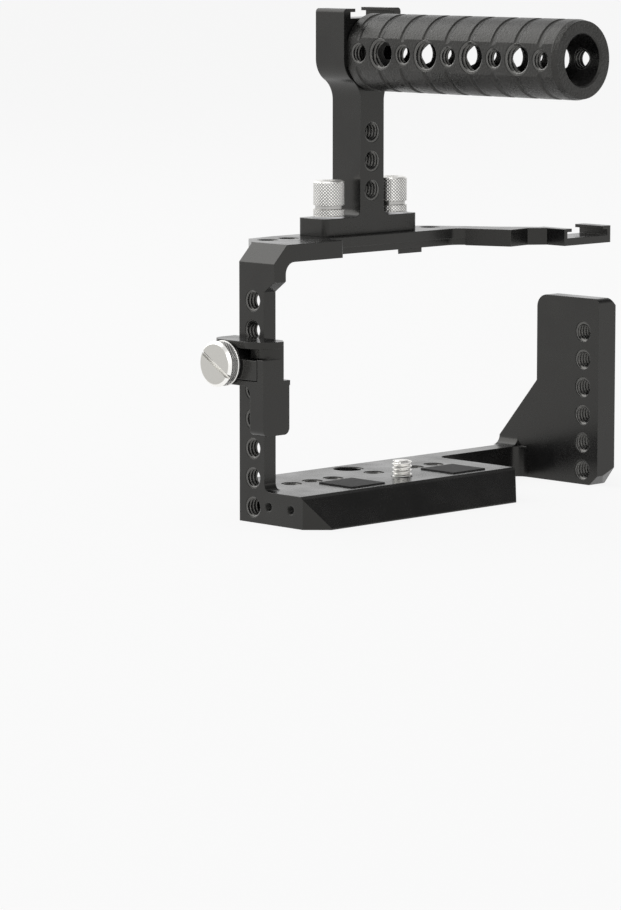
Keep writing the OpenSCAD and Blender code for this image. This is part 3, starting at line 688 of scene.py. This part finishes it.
# ---------------------------------------------------------------------------
# Camera screw. A captive 1/4-20 screw of nickel plated steel, with a coin slot in
# its head and a thin neck, so that it can drop in its counterbored hole.
# ---------------------------------------------------------------------------
_, camera_screw_y, _ = centre("camera_screw")
(_, _, camera_head_low), (camera_head_radius, _, screw_tip) = corners("camera_screw")
camera_head_top = corners("camera_screw_washer")[0][2]
neck_top, camera_tip_chamfer = 0.0092, 0.0005
coin_slot_width, coin_slot_depth, slot_length = 0.0016, 0.0014, 0.02


def saw_slot(piece, place, size):
    """Saws a slot across a screw's head with a blade centred on the head's face."""
    blade = bmesh.new()
    bmesh.ops.create_cube(blade, size=1.0, matrix=place @ Matrix.Diagonal((*size, 1)))
    cut_away(piece, blade)


shape = turned([
    (0, camera_head_low), (camera_head_radius - edge_break, camera_head_low),
    (camera_head_radius, camera_head_low + edge_break),
    (camera_head_radius, camera_head_top - edge_break),
    (camera_head_radius - edge_break, camera_head_top), (core_radius, camera_head_top),
    (core_radius, screw_tip - camera_tip_chamfer), (core_radius - camera_tip_chamfer, screw_tip),
    (0, screw_tip),
], steps=72)
bmesh.ops.translate(shape, verts=shape.verts, vec=(0, camera_screw_y, 0))
captive_screw = finished_piece("captive_screw", shape, nickel, "base_screw")
saw_slot(captive_screw, Matrix.Translation((0, camera_screw_y, camera_head_low)),
         (slot_length, coin_slot_width, 2 * coin_slot_depth))
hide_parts("camera_screw")
wound_thread("captive_screw_thread", (0, camera_screw_y, neck_top), (0, 0, 1),
             screw_tip - neck_top, "base_screw")

# ---------------------------------------------------------------------------
# Cable clamp. A black anodised bracket and jaw with a rubber pad, drawn tight by a
# slotted nickel thumbscrew that goes into the column's sixth thread.
# ---------------------------------------------------------------------------
clamp_head_radius, clamp_head, rim = 0.00675, 0.0042, 0.0008
clamp_knurl_sink, clamp_knurl_depth, clamp_rows, clamp_columns = 0.0001, 0.0001, 6, 120
clamp_shank, clamp_neck, clamp_neck_slope = 0.0159, 0.0038, 0.0004
clamp_thread_start, clamp_thread_length = -0.0158, 0.0118
slot_width, slot_depth, slot_turn = 0.0012, 0.0012, math.radians(-31)
facing_out = 0.9
wear("clamp_bracket", black_anodised)
wear("clamp_jaw", black_anodised)
wear("clamp_jaw_pad", rubber)
wear("clamp_washer", plain_steel)

clamp_band = (clamp_head_radius - clamp_knurl_sink, 2 * edge_break + knurl_margin,
              clamp_head - rim - 2 * knurl_margin, clamp_rows)
shape = turned([
    *shank(clamp_shank, clamp_neck, clamp_neck_slope),
    (clamp_head_radius - edge_break, 0.0), (clamp_head_radius, edge_break),
    (clamp_head_radius, 2 * edge_break), *knurled_rows(*clamp_band),
    (clamp_head_radius, clamp_head - rim - knurl_margin), (clamp_head_radius, clamp_head - rim),
    (clamp_head_radius - rim, clamp_head), (0, clamp_head),
], steps=clamp_columns)
shape.verts.layers.float.new("groove")
knurl(shape, *clamp_band, clamp_knurl_depth, clamp_columns)
# The head's outward face takes a darker copy of the nickel with the same roughness: painted shade.
for face in shape.faces:
    face.material_index = 1 if face.normal.z > facing_out else 0
_, screw_y, screw_z = centre("clamp_washer")
under_head = Matrix.Translation((corners("clamp_washer")[0][0], screw_y, screw_z))
face_out = under_head @ Matrix.Rotation(-math.pi / 2, 4, "Y")
bmesh.ops.transform(shape, matrix=face_out, verts=shape.verts)
clamp_screw = finished_piece("slotted_thumbscrew", shape, nickel, "jaw_screw")
clamp_screw.data.materials.append(
    plated("face_shaded_nickel", (0.56, 0.55, 0.52), roughness=0.3, brush_scale=1400.0)
)
head_face = Matrix.Rotation(slot_turn, 4, "Z") @ Matrix.Translation((0, 0, clamp_head))
saw_slot(clamp_screw, face_out @ head_face, (slot_width, slot_length, 2 * slot_depth))
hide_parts("clamp_screw")
wound_thread("slotted_thumbscrew_thread", face_out @ Vector((0, 0, clamp_thread_start)),
             (-1, 0, 0), clamp_thread_length, "jaw_screw")
